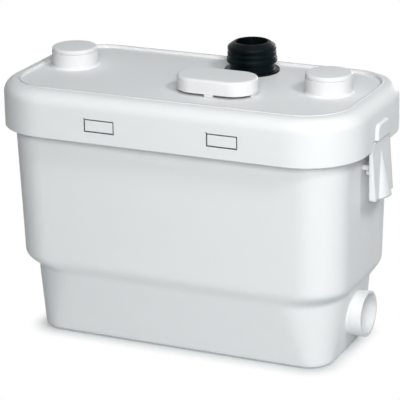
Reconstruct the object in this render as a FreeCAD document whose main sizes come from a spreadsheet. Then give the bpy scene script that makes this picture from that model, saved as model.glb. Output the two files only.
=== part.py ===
import FreeCAD, Part
import os
import re
import Sketcher

# Grey water pump: a moulded tank under a clipped lid, with the pump, its motor, the level
# switch and the electrics inside. Millimetres, +Z up, the origin at the middle of the base,
# the front at -Y and the side inlet at +X.

os.makedirs("parts", exist_ok=True)
doc = FreeCAD.newDocument("grey_water_pump")
sheet = doc.addObject("Spreadsheet::Sheet", "Sizes")

# Driving dimensions
sizes = {
    # lid
    "lid_width": 400.0,
    "lid_depth": 210.0,
    "lid_corner": 64.0,
    "lid_wall": 3.0,
    "lid_edge_round": 14.0,
    "skirt_bottom": 228.0,
    "border_top": 276.6,
    "ridge_top": 277.4,
    "ridge_inset": 16.0,
    "ridge_band": 2.0,
    "panel_sink": 2.2,
    # tank
    "tank_wall": 3.0,
    "rim_inset_x": 13.2,
    "rim_inset_y": 12.55,
    "rim_corner": 42.4,
    "rim_top": 262.0,
    "seal_high": 3.0,
    "seal_wide": 5.0,
    "shoulder_inset_x": 3.95,
    "shoulder_inset_y": 6.55,
    "shoulder_corner": 41.0,
    "shoulder_level": 83.6,
    "step_inset_x": 6.85,
    "step_inset_y": 4.2,
    "step_corner": 56.0,
    "step_level": 73.2,
    "base_inset_x": 10.0,
    "base_inset_y": 14.2,
    "base_corner": 27.0,
    "base_round": 6.0,
    "shoulder_round": 8.0,
    "step_round": 3.5,
    # side inlet
    "spigot_radius": 24.0,
    "spigot_wall": 2.6,
    "spigot_level": 43.4,
    "spigot_out": 22.0,
    "spigot_free": 12.0,
    "spigot_root_step": 0.4,
    "spigot_in": 6.0,
    "inlet_flap_radius": 23.0,
    "inlet_flap_hinge": 28.2,
    "inlet_flap_barrel": 2.4,
    "inlet_flap_pin": 1.4,
    "inlet_ear_thick": 3.0,
    "inlet_barrel_half": 7.0,
    # lid windows and the tank's snap lugs
    "window_left": -65.0,
    "window_right": 71.0,
    "window_width": 33.4,
    "window_height": 13.4,
    "window_level": 240.2,
    "window_gap": 0.9,
    "window_dot": 1.1,
    "lug_sink": 0.4,
    "lug_deep": 16.0,
    # end clip and the boss above it
    "boss_half": 17.5,
    "boss_proud": 3.4,
    "boss_top": 253.5,
    "boss_corner": 8.0,
    "boss_round": 2.2,
    "clip_gap": 0.5,
    "clip_slit": 1.0,
    "clip_side_gap": 0.7,
    "clip_top": 236.0,
    "clip_top_half": 22.0,
    "clip_bend": 226.0,
    "clip_half": 26.0,
    "clip_bottom": 175.5,
    "clip_bottom_half": 25.0,
    "clip_lean": 3.8,
    "clip_thick": 2.6,
    "clip_cheek": 3.6,
    "clip_chamfer": 1.2,
    "clip_pin_inset": 0.6,
    "clip_pin_radius": 1.5,
    "clip_pin_level": 232.0,
    "clip_barrel": 2.6,
    "clip_barrel_half": 21.5,
    "clip_boss": 3.4,
    "clip_boss_long": 5.0,
    "bulge_half": 16.5,
    "bulge_proud": 6.5,
    "bulge_tip": 0.4,
    "finger_top": 197.0,
    "clip_hook_half": 14.0,
    "clip_hook_thick": 5.0,
    "clip_hook_level": 204.0,
    "clip_hook_reach": 3.6,
    "keeper_reach": 6.0,
    "keeper_height": 5.0,
    # top inlets
    "inlet_left_inset": 49.5,
    "inlet_right_inset": 60.5,
    "inlet_back": 10.0,
    "inlet_radius": 24.3,
    "inlet_bore": 21.3,
    "inlet_top": 290.9,
    "inlet_spout": 10.0,
    "inlet_foot": 1.8,
    "cap_round": 2.0,
    "cap_thick": 4.4,
    "cap_rest": 0.1,
    "cap_step": 0.4,
    "cap_gap": 0.3,
    "cap_plug_deep": 15.0,
    "cap_plug_wall": 4.0,
    "ring_section": 1.35,
    "ring_gap": 0.05,
    "ring_drop": 9.0,
    "pry_wide": 5.0,
    "pry_deep": 2.2,
    # vent
    "vent_x": 33.8,
    "vent_front": 74.5,
    "vent_length": 86.4,
    "vent_width": 48.0,
    "vent_lift": 3.0,
    "vent_height": 15.0,
    "vent_wall": 2.4,
    "vent_foot_inset": 0.6,
    "vent_foot_deep": 3.0,
    "vent_foot_root": 2.0,
    "vent_foot": 10.0,
    "well_wall": 2.0,
    "well_inset": 9.0,
    "well_depth": 12.0,
    "filter_gap": 0.6,
    "filter_thick": 9.0,
    # outlet
    "outlet_x": 34.2,
    "outlet_back": 47.5,
    "sleeve_flange": 29.3,
    "sleeve_flange_thick": 2.2,
    "sleeve_neck": 23.6,
    "sleeve_neck_high": 8.0,
    "sleeve_neck_fillet": 1.6,
    "sleeve_low_ring": 26.7,
    "sleeve_low_high": 5.3,
    "sleeve_groove": 24.7,
    "sleeve_groove_high": 2.1,
    "sleeve_mid_ring": 25.8,
    "sleeve_mid_high": 3.3,
    "sleeve_top_ring": 25.6,
    "sleeve_top_high": 4.0,
    "sleeve_shoulder_high": 5.0,
    "sleeve_ring_round": 0.9,
    "sleeve_mouth": 18.4,
    "sleeve_mouth_round": 1.1,
    "sleeve_bore": 16.1,
    "sleeve_tail": 19.0,
    "sleeve_tail_deep": 16.0,
    "riser_radius": 12.0,
    "riser_wall": 2.0,
    "riser_level": 37.0,
    "riser_top": 283.0,
    "valve_radius": 21.0,
    "valve_bottom": 146.0,
    "valve_top": 194.0,
    "valve_wall": 3.0,
    "flap_radius": 12.0,
    "flap_thick": 2.0,
    "flap_gap": 0.3,
    "flap_pin_radius": 1.2,
    "flap_hinge": 13.0,
    "flap_barrel": 2.2,
    "flap_barrel_half": 6.0,
    "seat_height": 14.0,
    "valve_ceiling": 4.0,
    "pin_gap": 0.08,
    # pump and motor
    "pump_x": -40.0,
    "pump_gap": 0.5,
    "volute_radius": 44.0,
    "volute_wall": 3.0,
    "volute_bottom": 22.0,
    "volute_top": 54.0,
    "eye_radius": 14.0,
    "strainer_bottom": 8.0,
    "foot_radius": 6.0,
    "foot_circle": 40.0,
    "impeller_radius": 34.0,
    "impeller_bottom": 28.0,
    "impeller_disc": 3.0,
    "blade_height": 12.0,
    "blade_thick": 2.5,
    "hub_radius": 8.0,
    "shaft_radius": 5.0,
    "shaft_top": 190.0,
    "motor_radius": 46.0,
    "motor_wall": 2.0,
    "motor_bottom": 60.0,
    "motor_top": 196.0,
    "motor_floor": 4.0,
    "winding_outer": 40.0,
    "winding_inner": 29.0,
    "winding_high": 11.0,
    "bearing_wall": 4.0,
    "stator_radius": 43.6,
    "stator_bore": 26.0,
    "stator_bottom": 86.0,
    "stator_top": 154.0,
    "rotor_gap": 0.5,
    "bearing_radius": 13.0,
    "bearing_thick": 9.0,
    "seal_radius": 11.0,
    "shaft_gap": 0.05,
    "blade_count": 6.0,
    "slot_count": 16.0,
    "slot_wide": 5.0,
    "slot_high": 8.0,
    "cap_dome": 8.0,
    # equipment plate
    "plate_level": 214.0,
    "plate_thick": 3.0,
    "plate_left": -106.0,
    "plate_right": 112.0,
    "plate_gap": 5.2,
    "bracket_reach": 12.0,
    "bracket_height": 8.0,
    "bracket_width": 14.0,
    "bracket_inset": 12.0,
    "screw_radius": 2.0,
    "screw_head": 4.0,
    "screw_head_thick": 2.5,
    "screw_deep": 9.0,
    "damper_circle": 30.0,
    "damper_radius": 6.0,
    # level switch
    "bell_x": 80.0,
    "bell_front": 77.0,
    "bell_radius": 20.0,
    "bell_wall": 2.0,
    "bell_bottom": 14.0,
    "bell_flange": 27.0,
    "bell_flange_thick": 6.0,
    "membrane_thick": 1.2,
    "membrane_radius": 22.0,
    "membrane_dome": 2.0,
    "membrane_dome_radius": 8.0,
    "switch_height": 26.0,
    "plunger_radius": 3.0,
    "switch_box": 22.0,
    "switch_box_deep": 10.0,
    "switch_box_high": 13.0,
    "switch_pin": 1.2,
    "switch_pin_long": 3.0,
    # electrics
    "box_x": -100.0,
    "box_front": 17.2,
    "box_long": 56.0,
    "box_deep": 50.0,
    "box_high": 32.0,
    "box_wall": 2.0,
    "capacitor_x": -30.0,
    "capacitor_front": 35.2,
    "capacitor_long": 62.0,
    "capacitor_radius": 16.0,
    "clip_band": 1.5,
    "capacitor_shoulder": 3.0,
    "capacitor_nose": 4.0,
    "band_half": 6.0,
    "band_foot": 6.0,
    "gland_x": -95.0,
    "gland_level": 188.0,
    "gland_radius": 8.0,
    "gland_bore": 4.0,
    "gland_nut_radius": 12.0,
    "gland_nut_long": 10.0,
    "gland_body_long": 12.0,
    "fit_gap": 0.02,
    "rest_gap": 0.2,
}
for row, (alias, number) in enumerate(sizes.items(), 1):
    sheet.set("A" + str(row), alias)
    sheet.set("B" + str(row), str(number))
    sheet.setAlias("B" + str(row), alias)

# Sizes that follow from the driving ones
derived = {
    "rim_width": "lid_width - 2 * rim_inset_x",
    "rim_depth": "lid_depth - 2 * rim_inset_y",
    "shoulder_width": "rim_width - 2 * shoulder_inset_x",
    "shoulder_depth": "rim_depth - 2 * shoulder_inset_y",
    "step_width": "shoulder_width - 2 * step_inset_x",
    "step_depth": "shoulder_depth - 2 * step_inset_y",
    "base_width": "step_width - 2 * base_inset_x",
    "base_depth": "step_depth - 2 * base_inset_y",
    "spigot_mouth": "base_width / 2 + spigot_out",
    "spigot_root": "base_width / 2 - spigot_in",
    "inlet_left": "inlet_left_inset - lid_width / 2",
    "inlet_right": "lid_width / 2 - inlet_right_inset",
    "vent_y": "vent_front - lid_depth / 2",
    "outlet_y": "lid_depth / 2 - outlet_back",
    "pump_y": "base_depth / 2 - tank_wall - pump_gap - volute_radius",
    "bell_y": "bell_front - lid_depth / 2",
    "panel_top": "border_top - panel_sink",
    "panel_under": "panel_top - lid_wall",
    "skirt_inside": "lid_width / 2 - lid_wall",
    "clip_face": "lid_width / 2",
    "clip_foot": "clip_face + clip_lean",
    "bulge_radius": "(bulge_half * bulge_half + bulge_proud * bulge_proud) / (2 * bulge_proud)",
    "bulge_x": "clip_foot + bulge_proud - bulge_radius",
    "finger_part": "(finger_top - clip_bottom) / (clip_bend - clip_bottom)",
    "cap_bottom": "inlet_top + cap_rest",
    "cap_radius": "inlet_radius - cap_step",
    "cap_top": "cap_bottom + cap_thick",
    "ring_level": "cap_bottom - ring_drop",
    "ring_middle": "inlet_bore - ring_gap - ring_section",
    "plug_radius": "inlet_bore - cap_gap",
    "vent_bottom": "panel_top + vent_lift",
    "vent_top": "vent_bottom + vent_height",
    "spigot_bore": "spigot_radius - spigot_wall",
    "riser_bore": "riser_radius - riser_wall",
    "plate_top": "plate_level + plate_thick",
    "tank_end": "rim_width / 2",
    "bracket_wall": "(shoulder_depth + (rim_depth - shoulder_depth) * (plate_level - shoulder_level)"
                    " / (rim_top - shoulder_level) - tank_wall) / 2",
    "plate_depth": "2 * (bracket_wall - plate_gap)",
    "box_y": "box_front - bracket_wall",
    "capacitor_y": "capacitor_front - bracket_wall",
    "rotor_radius": "stator_bore - rotor_gap",
    "valve_seat": "valve_bottom + seat_height",
    "flap_hinge_level": "valve_seat + flap_gap + flap_barrel",
    "inlet_hinge_level": "spigot_level + inlet_flap_hinge",
    "inlet_hinge_x": "spigot_root - flap_gap - flap_thick / 2",
    "clip_pin_x": "skirt_inside - clip_pin_inset",
    "plate_middle": "(plate_left + plate_right) / 2",
    "capacitor_level": "plate_top + capacitor_radius + clip_band",
    "box_top": "plate_top + box_high",
    "gland_face": "(shoulder_depth + (rim_depth - shoulder_depth) * (gland_level - shoulder_level)"
                  " / (rim_top - shoulder_level)) / 2 + clip_gap",
    "membrane_top": "plate_level + membrane_thick",
    "dome_top": "membrane_top + membrane_dome",
    "switch_top": "plate_top + switch_height",
    "impeller_top": "impeller_bottom + blade_height + impeller_disc",
}


def formula(text):
    """The text with every size name written as a cell of the sheet."""
    return re.sub(r"[a-z][a-z0-9_]*", lambda word: "Sizes." + word.group()
                  if word.group() in sizes else word.group(), str(text))


for row, (alias, text) in enumerate(derived.items(), len(sizes) + 1):
    sheet.set("A" + str(row), alias)
    sheet.set("B" + str(row), "=" + text)
    sheet.setAlias("B" + str(row), alias)
sizes.update(derived)
doc.recompute()

TURNS = {
    "x": FreeCAD.Rotation(FreeCAD.Vector(0, 1, 0), 90),
    "y": FreeCAD.Rotation(FreeCAD.Vector(1, 0, 0), -90),
    "z": FreeCAD.Rotation(),
}
MODEL_TOLERANCE = 1e-4
pieces = []


def value(text):
    """The number that a formula gives."""
    return float(sheet.evalExpression(re.sub("Sizes[.]", "", formula(text))))


def placed(thing, x, y, z, along="z"):
    thing.Placement = FreeCAD.Placement(FreeCAD.Vector(), TURNS[along])
    for axis, text in zip("xyz", (x, y, z)):
        thing.setExpression(".Placement.Base." + axis, formula(text))
    return thing


def piece(thing, node):
    """Names a finished sub-part, which becomes its own file."""
    thing.Label = node
    pieces.append(thing)
    return thing


def box(name, x, y, z):
    """A block between pairs of levels along each axis."""
    thing = doc.addObject("Part::Box", name)
    for side, span in zip(("Length", "Width", "Height"), (x, y, z)):
        thing.setExpression(side, formula(f"({span[1]}) - ({span[0]})"))
    return placed(thing, x[0], y[0], z[0])


def cylinder(name, radius, low, high, x="0", y="0", along="z"):
    """A cylinder between two levels along its axis; x and y place the axis."""
    thing = doc.addObject("Part::Cylinder", name)
    thing.setExpression("Radius", formula(radius))
    thing.setExpression("Height", formula(f"({high}) - ({low})"))
    if along == "x":
        return placed(thing, low, x, y, along)
    if along == "y":
        return placed(thing, x, low, y, along)
    return placed(thing, x, y, low, along)


def fuse(name, *things):
    thing = doc.addObject("Part::MultiFuse", name)
    thing.Shapes = list(things)
    thing.Refine = True
    return thing


def common(name, *things):
    thing = doc.addObject("Part::MultiCommon", name)
    thing.Shapes = list(things)
    return thing


def cut(name, base, *tools):
    tool = tools[0] if len(tools) == 1 else fuse(name + "_tools", *tools)
    thing = doc.addObject("Part::Cut", name)
    thing.Base = base
    thing.Tool = tool
    thing.Refine = True
    return thing


def plane(body, role):
    return next(item for item in body.Origin.OriginFeatures if item.Role == role)


def sketch_on(body, name, role, level="0", x="0", y="0"):
    sketch = body.newObject("Sketcher::SketchObject", name)
    sketch.AttachmentSupport = [(plane(body, role), "")]
    sketch.MapMode = "FlatFace"
    for axis, text in zip("xyz", (x, y, level)):
        sketch.setExpression(".AttachmentOffset.Base." + axis, formula(text))
    return sketch


def bind(sketch, name, constraint, text):
    index = sketch.addConstraint(constraint)
    sketch.renameConstraint(index, name)
    sketch.setExpression("Constraints." + name, formula(text))


def rounded_outline(body, name, width, depth, corner, level, x="0", y="0", role="XY_Plane"):
    """A rectangle with round corners, centred on its own origin."""
    sketch = sketch_on(body, name, role, level, x, y)
    half_w, half_d, r = value(width) / 2, value(depth) / 2, value(corner)
    straight_x, straight_y = half_w - r, half_d - r
    corners = [(straight_x, -straight_y), (straight_x, straight_y),
               (-straight_x, straight_y), (-straight_x, -straight_y)]
    ends = [((-straight_x, -half_d), (straight_x, -half_d)), ((half_w, -straight_y), (half_w, straight_y)),
            ((straight_x, half_d), (-straight_x, half_d)), ((-half_w, straight_y), (-half_w, -straight_y))]
    for start, end in ends:
        sketch.addGeometry(Part.LineSegment(FreeCAD.Vector(*start, 0), FreeCAD.Vector(*end, 0)), False)
    for turn, middle in enumerate(corners):
        circle = Part.Circle(FreeCAD.Vector(*middle, 0), FreeCAD.Vector(0, 0, 1), r)
        first = (turn - 1) * 1.5707963267948966
        sketch.addGeometry(Part.ArcOfCircle(circle, first, first + 1.5707963267948966), False)
    for side in range(4):
        sketch.addConstraint(Sketcher.Constraint("Tangent", side, 2, side + 4, 1))
        sketch.addConstraint(Sketcher.Constraint("Tangent", side + 4, 2, (side + 1) % 4, 1))
        sketch.addConstraint(Sketcher.Constraint("Vertical" if side % 2 else "Horizontal", side))
    for arc in (4, 5, 6):
        sketch.addConstraint(Sketcher.Constraint("Equal", arc, arc + 1))
    sketch.addConstraint(Sketcher.Constraint("Symmetric", 4, 3, 6, 3, -1, 1))
    bind(sketch, "corner", Sketcher.Constraint("Radius", 4, r), corner)
    bind(sketch, "width", Sketcher.Constraint("DistanceX", 3, 1, 1, 1, 2 * half_w), width)
    bind(sketch, "depth", Sketcher.Constraint("DistanceY", 0, 1, 2, 1, 2 * half_d), depth)
    return sketch


def polygon_outline(body, name, role, points, level="0"):
    """A closed outline through points given as pairs of formulas."""
    sketch = sketch_on(body, name, role, level)
    spots = [FreeCAD.Vector(value(a), value(b), 0) for a, b in points]
    for index, spot in enumerate(spots):
        sketch.addGeometry(Part.LineSegment(spot, spots[(index + 1) % len(spots)]), False)
    for index in range(len(spots)):
        sketch.addConstraint(Sketcher.Constraint("Coincident", index, 2, (index + 1) % len(spots), 1))
    for index, (a, b) in enumerate(points):
        if a == "0":
            sketch.addConstraint(Sketcher.Constraint("PointOnObject", index, 1, -2))
        else:
            across = Sketcher.Constraint("DistanceX", -1, 1, index, 1, spots[index].x)
            bind(sketch, f"across{index}", across, a)
        if b == "0":
            sketch.addConstraint(Sketcher.Constraint("PointOnObject", index, 1, -1))
        else:
            bind(sketch, f"up{index}", Sketcher.Constraint("DistanceY", -1, 1, index, 1, spots[index].y), b)
    return sketch


def new_body(name):
    return doc.addObject("PartDesign::Body", name)


def slab(name, role, points, low, high):
    """A slab between two levels, cut to an outline in a plane square to them."""
    body = new_body(name)
    pad = body.newObject("PartDesign::Pad", name + "_pad")
    pad.Profile = polygon_outline(body, name + "_outline", role, points, low)
    pad.setExpression("Length", formula(f"({high}) - ({low})"))
    return body


def leaning_cone(name, foot, tip):
    """A cone between two level circles, each a radius, the x of its middle and its level."""
    body = new_body(name)
    circles = []
    for index, (radius, x, level) in enumerate((foot, tip)):
        sketch = sketch_on(body, f"{name}_circle_{index}", "XY_Plane", level, x)
        sketch.addGeometry(Part.Circle(FreeCAD.Vector(), FreeCAD.Vector(0, 0, 1), value(radius)), False)
        sketch.addConstraint(Sketcher.Constraint("Coincident", 0, 3, -1, 1))
        bind(sketch, "radius", Sketcher.Constraint("Radius", 0, value(radius)), radius)
        circles.append(sketch)
    loft = body.newObject("PartDesign::AdditiveLoft", name + "_loft")
    loft.Profile = circles[0]
    loft.Sections = circles[1:]
    loft.Ruled = True
    return body


def turned(name, points, x="0", y="0", z="0", along="z"):
    """A turned piece: its half section, as radius and level, spun about its axis."""
    body = new_body(name)
    sketch = polygon_outline(body, name + "_section", "XZ_Plane", points)
    spin = body.newObject("PartDesign::Revolution", name + "_spin")
    spin.Profile = sketch
    spin.ReferenceAxis = (sketch, ["V_Axis"])
    spin.Angle = 360
    return placed(body, x, y, z, along)


def tube(name, outer, inner, low, high, x="0", y="0", along="z"):
    if along == "x":
        return turned(name, [(inner, low), (outer, low), (outer, high), (inner, high)], "0", x, y, along)
    if along == "y":
        return turned(name, [(inner, low), (outer, low), (outer, high), (inner, high)], x, "0", y, along)
    return turned(name, [(inner, low), (outer, low), (outer, high), (inner, high)], x, y)


def block(name, width, depth, corner, low, high, x="0", y="0"):
    """A straight block with round corners."""
    body = new_body(name)
    sketch = rounded_outline(body, name + "_outline", width, depth, corner, low)
    pad = body.newObject("PartDesign::Pad", name + "_pad")
    pad.Profile = sketch
    pad.setExpression("Length", formula(f"({high}) - ({low})"))
    return placed(body, x, y, "0")


def round_edges(body, level, radius, axis="Z"):
    """Rounds every edge of a body's last feature that lies at one level along an axis."""
    doc.recompute()
    base = body.Tip
    height = value(level)
    names = [f"Edge{index}" for index, edge in enumerate(base.Shape.Edges, 1)
             if abs(getattr(edge.BoundBox, axis + "Min") - height) < MODEL_TOLERANCE
             and abs(getattr(edge.BoundBox, axis + "Max") - height) < MODEL_TOLERANCE]
    fillet = body.newObject("PartDesign::Fillet", body.Name + "_round")
    fillet.Base = (base, names)
    fillet.setExpression("Radius", formula(radius))
    return body


def taper(name, *outlines):
    """A drafted block lofted straight from one round cornered outline to the next."""
    body = new_body(name)
    sections = [rounded_outline(body, f"{name}_at_{index}", *outline)
                for index, outline in enumerate(outlines)]
    loft = body.newObject("PartDesign::AdditiveLoft", name + "_loft")
    loft.Profile = sections[0]
    loft.Sections = sections[1:]
    loft.Ruled = True
    return body


def obround(name, length, width, low, high, x, y):
    """A slot shaped block: two round ends and the straight stretch between them."""
    reach = f"(({length}) - ({width})) / 2"
    ends = [cylinder(f"{name}_{side}", f"({width}) / 2", low, high, f"({x}) {sign} {reach}", y)
            for side, sign in (("left", "-"), ("right", "+"))]
    middle = box(name + "_middle", (f"({x}) - {reach}", f"({x}) + {reach}"),
                 (f"({y}) - ({width}) / 2", f"({y}) + ({width}) / 2"), (low, high))
    return fuse(name, *ends, middle)


def screw(name, x, y, level):
    """A pan head screw whose head sits on a level and whose shank goes down."""
    return turned(name, [("0", f"{level} - screw_deep"), ("screw_radius", f"{level} - screw_deep"),
                         ("screw_radius", level), ("screw_head", level),
                         ("screw_head", f"{level} + screw_head_thick"),
                         ("0", f"{level} + screw_head_thick")], x, y)


# Tank
step_sizes = ("step_width", "step_depth", "step_corner", "step_level")
shoulder_sizes = ("shoulder_width", "shoulder_depth", "shoulder_corner", "shoulder_level")
rim_sizes = ("rim_width", "rim_depth", "rim_corner", "rim_top")


def base_outline(inset, level):
    return (f"base_width - 2 * ({inset})", f"base_depth - 2 * ({inset})", f"base_corner - ({inset})", level)


def wall_inside(outline, level):
    """The outline one tank wall further in."""
    return tuple(f"{size} - 2 * tank_wall" for size in outline[:2]) + (f"{outline[2]} - tank_wall", level)


def blend(*shares):
    """An outline made of shares of other outlines, each a weight and an outline."""
    return tuple(" + ".join(f"({weight}) * ({outline[index]})" for weight, outline in shares)
                 for index in range(4))


def softened(below, corner, above, arm):
    """Four outlines that round a bend between two slopes, starting one arm below it."""
    start = blend((f"({arm}) / ({corner[3]} - {below[3]})", below),
                  (f"1 - ({arm}) / ({corner[3]} - {below[3]})", corner))
    end = blend((f"1 - ({arm}) / ({above[3]} - {corner[3]})", corner),
                (f"({arm}) / ({above[3]} - {corner[3]})", above))
    return [start, blend((4 / 9, start), (4 / 9, corner), (1 / 9, end)),
            blend((1 / 9, start), (4 / 9, corner), (4 / 9, end)), end]


# the bottom edge is rounded in three steps of a quarter circle
outer_walls = taper("outer_walls", base_outline("base_round", "0"),
                    base_outline("0.5 * base_round", "0.134 * base_round"),
                    base_outline("0.134 * base_round", "0.5 * base_round"),
                    base_outline("0", "base_round"),
                    *softened(base_outline("0", "base_round"), step_sizes, shoulder_sizes, "step_round"),
                    *softened(step_sizes, shoulder_sizes, rim_sizes, "shoulder_round / 1.6"), rim_sizes)
hollow = taper("hollow", base_outline("base_round + tank_wall / 2", "tank_wall"),
               base_outline("tank_wall", "base_round"),
               wall_inside(step_sizes, "step_level + tank_wall"),
               wall_inside(shoulder_sizes, "shoulder_level + tank_wall"), wall_inside(rim_sizes, "rim_top"))
spigot_line = ("0", "spigot_level", "x")
spigot = cylinder("spigot", "spigot_radius", "spigot_mouth - spigot_free", "spigot_mouth", *spigot_line)
spigot_neck = cylinder("spigot_neck", "spigot_radius - spigot_root_step", "spigot_root",
                       "spigot_mouth - spigot_free", *spigot_line)
spigot_hole = cylinder("spigot_hole", "spigot_bore", "spigot_root - 1", "spigot_mouth + 1", *spigot_line)


def window(name, middle, side, gap, low, high):
    """A block in one lid window, smaller than the window by a gap all round."""
    return box(name, (f"{middle} - window_width / 2 + {gap}", f"{middle} + window_width / 2 - {gap}"),
               (low, high) if side == "-" else (f"-({high})", f"-({low})"),
               (f"window_level + {gap}", f"window_level + window_height - {gap}"))


window_places = [(middle, side) for middle in ("window_left", "window_right") for side in "-+"]
lugs = [window(f"snap_lug_{index}", middle, side, "window_gap", "lug_sink - lid_depth / 2",
               "lug_sink - lid_depth / 2 + lug_deep") for index, (middle, side) in enumerate(window_places)]
keeper = box("clip_keeper", ("tank_end - 2 * tank_wall", "tank_end + keeper_reach"),
             ("-clip_hook_half - 1", "clip_hook_half + 1"),
             ("clip_hook_level + clip_gap", "clip_hook_level + clip_gap + keeper_height"))
brackets = []
for index, side in enumerate(("plate_left + bracket_inset", "plate_right - bracket_inset")):
    for sign in ("-", "+"):
        ends = (f"{sign}bracket_wall", f"{sign}(bracket_wall - bracket_reach)")
        span = ends if sign == "-" else ends[::-1]
        brackets.append(box(f"bracket_{index}{'front' if sign == '-' else 'back'}",
                            (f"{side} - bracket_width / 2", f"{side} + bracket_width / 2"), span,
                            ("plate_level - bracket_height", "plate_level")))
ears = [box(f"flap_ear_{side}", ("inlet_hinge_x - 3", "step_width / 2 - tank_wall + 1"), span,
            ("spigot_level + spigot_radius - 0.5", "inlet_hinge_level + 4"))
        for side, span in (("front", ("-inlet_barrel_half - 1 - inlet_ear_thick", "-inlet_barrel_half - 1")),
                           ("back", ("inlet_barrel_half + 1", "inlet_barrel_half + 1 + inlet_ear_thick")))]
inlet_pin_half = "inlet_barrel_half + 1 + inlet_ear_thick"
ear_hole = cylinder("ear_hole", "inlet_flap_pin + fit_gap", f"-({inlet_pin_half}) - 1",
                    f"{inlet_pin_half} + 1", "inlet_hinge_x", "inlet_hinge_level", "y")
gland_hole = cylinder("gland_hole", "gland_radius + clip_gap", "rim_depth / 2 - 20", "rim_depth / 2 + 4",
                      "gland_x", "gland_level", "y")
shell = cut("tank_shell", fuse("tank_outside", outer_walls, keeper, *lugs), hollow)
fitted = fuse("tank_fitted", shell, spigot, spigot_neck, *brackets, *ears)
plate_screw_spots = [(x, f"{sign}(bracket_wall - bracket_reach / 2 - tank_wall / 2)")
                     for x in ("plate_left + bracket_inset", "plate_right - bracket_inset") for sign in "-+"]
screw_holes = [cylinder(f"bracket_hole_{index}", "screw_radius + fit_gap", "plate_top - screw_deep - 1",
                        "plate_top + 1", x, y) for index, (x, y) in enumerate(plate_screw_spots)]
piece(cut("tank_body", fitted, spigot_hole, gland_hole, ear_hole, *screw_holes), "tank")

# Side inlet flap, hung on its own pin inside the tank
flap_span = ("spigot_root - flap_gap - flap_thick", "spigot_root - flap_gap")
disc = cylinder("inlet_disc", "inlet_flap_radius", *flap_span, *spigot_line)
strap = box("inlet_strap", flap_span,
            ("-inlet_barrel_half + 1", "inlet_barrel_half - 1"), ("spigot_level", "inlet_hinge_level"))
barrel = cylinder("inlet_barrel", "inlet_flap_barrel", "-inlet_barrel_half", "inlet_barrel_half",
                  "inlet_hinge_x", "inlet_hinge_level", "y")
barrel_hole = cylinder("inlet_barrel_hole", "inlet_flap_pin + pin_gap", "-inlet_barrel_half - 1",
                       "inlet_barrel_half + 1", "inlet_hinge_x", "inlet_hinge_level", "y")
piece(cut("side_flap", fuse("side_flap_whole", disc, strap, barrel), barrel_hole), "side_inlet_flap")
piece(cylinder("side_flap_pin", "inlet_flap_pin", f"-({inlet_pin_half})", inlet_pin_half, "inlet_hinge_x",
               "inlet_hinge_level", "y"), "side_flap_pin")

# Pump feet, strainer and casing
feet = [cylinder(f"foot_{index}", "foot_radius", "tank_wall", "strainer_bottom",
                 f"pump_x + {a} * foot_circle * 0.7071", f"pump_y + {b} * foot_circle * 0.7071")
        for index, (a, b) in enumerate(((1, 1), (-1, 1), (-1, -1), (1, -1)))]
feet_group = doc.addObject("Part::Compound", "feet_group")
feet_group.Links = feet
piece(feet_group, "pump_feet")


def spokes(name, low_radius, high_radius, width, low, high, count, x, y):
    """Flat bars that stand round an axis like the spokes of a wheel."""
    body = new_body(name)
    body.AllowCompound = True
    half = f"({width}) / 2"
    sketch = polygon_outline(body, name + "_outline", "XY_Plane",
                             [(low_radius, f"-{half}"), (high_radius, f"-{half}"),
                              (high_radius, half), (low_radius, half)], low)
    pad = body.newObject("PartDesign::Pad", name + "_pad")
    pad.Profile = sketch
    pad.setExpression("Length", formula(f"({high}) - ({low})"))
    doc.recompute()
    ring = body.newObject("PartDesign::PolarPattern", name + "_ring")
    ring.Originals = [pad]
    ring.Axis = (plane(body, "Z_Axis"), [""])
    ring.Angle = 360
    ring.setExpression("Occurrences", formula(count))
    body.Tip = ring
    return placed(body, x, y, "0")


slots = spokes("strainer_slots", "volute_radius - 2 * volute_wall", "volute_radius + 1", "slot_wide",
               "strainer_bottom + volute_wall", "strainer_bottom + volute_wall + slot_high", "slot_count",
               "pump_x", "pump_y")
strainer_ring = tube("strainer_ring", "volute_radius", "volute_radius - volute_wall", "strainer_bottom",
                     "volute_bottom", "pump_x", "pump_y")
piece(cut("strainer_cut", strainer_ring, slots), "strainer")

casing = turned("casing_cup", [("eye_radius", "volute_bottom"), ("volute_radius", "volute_bottom"),
                               ("volute_radius", "volute_top"), ("volute_radius - volute_wall", "volute_top"),
                               ("volute_radius - volute_wall", "volute_bottom + volute_wall"),
                               ("eye_radius", "volute_bottom + volute_wall")], "pump_x", "pump_y")
riser_line = ("outlet_y", "riser_level", "x")
stub_end = "(pump_x + outlet_x) / 2 + riser_radius"
stub = cylinder("casing_stub", "riser_radius", "pump_x", stub_end, *riser_line)
stub_bore = cylinder("casing_stub_bore", "riser_bore", "pump_x + riser_wall", f"{stub_end} + 1", *riser_line)
chamber = cylinder("casing_chamber", "volute_radius - volute_wall", "volute_bottom + volute_wall",
                   "volute_top", "pump_x", "pump_y")
piece(cut("casing_cut", fuse("casing_whole", casing, stub), stub_bore, chamber), "volute_casing")
cover_screws = [(f"pump_x + {a} * (volute_radius - 2 * volute_wall) * 0.7071",
                 f"pump_y + {b} * (volute_radius - 2 * volute_wall) * 0.7071")
                for a, b in ((1, 1), (-1, 1), (-1, -1), (1, -1))]
piece(tube("casing_lid", "volute_radius", "seal_radius + fit_gap", "volute_top", "motor_bottom", "pump_x",
           "pump_y"), "volute_cover")
piece(tube("lip_seal", "seal_radius", "shaft_radius + shaft_gap", "volute_top", "motor_bottom", "pump_x",
           "pump_y"), "shaft_seal")

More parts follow.
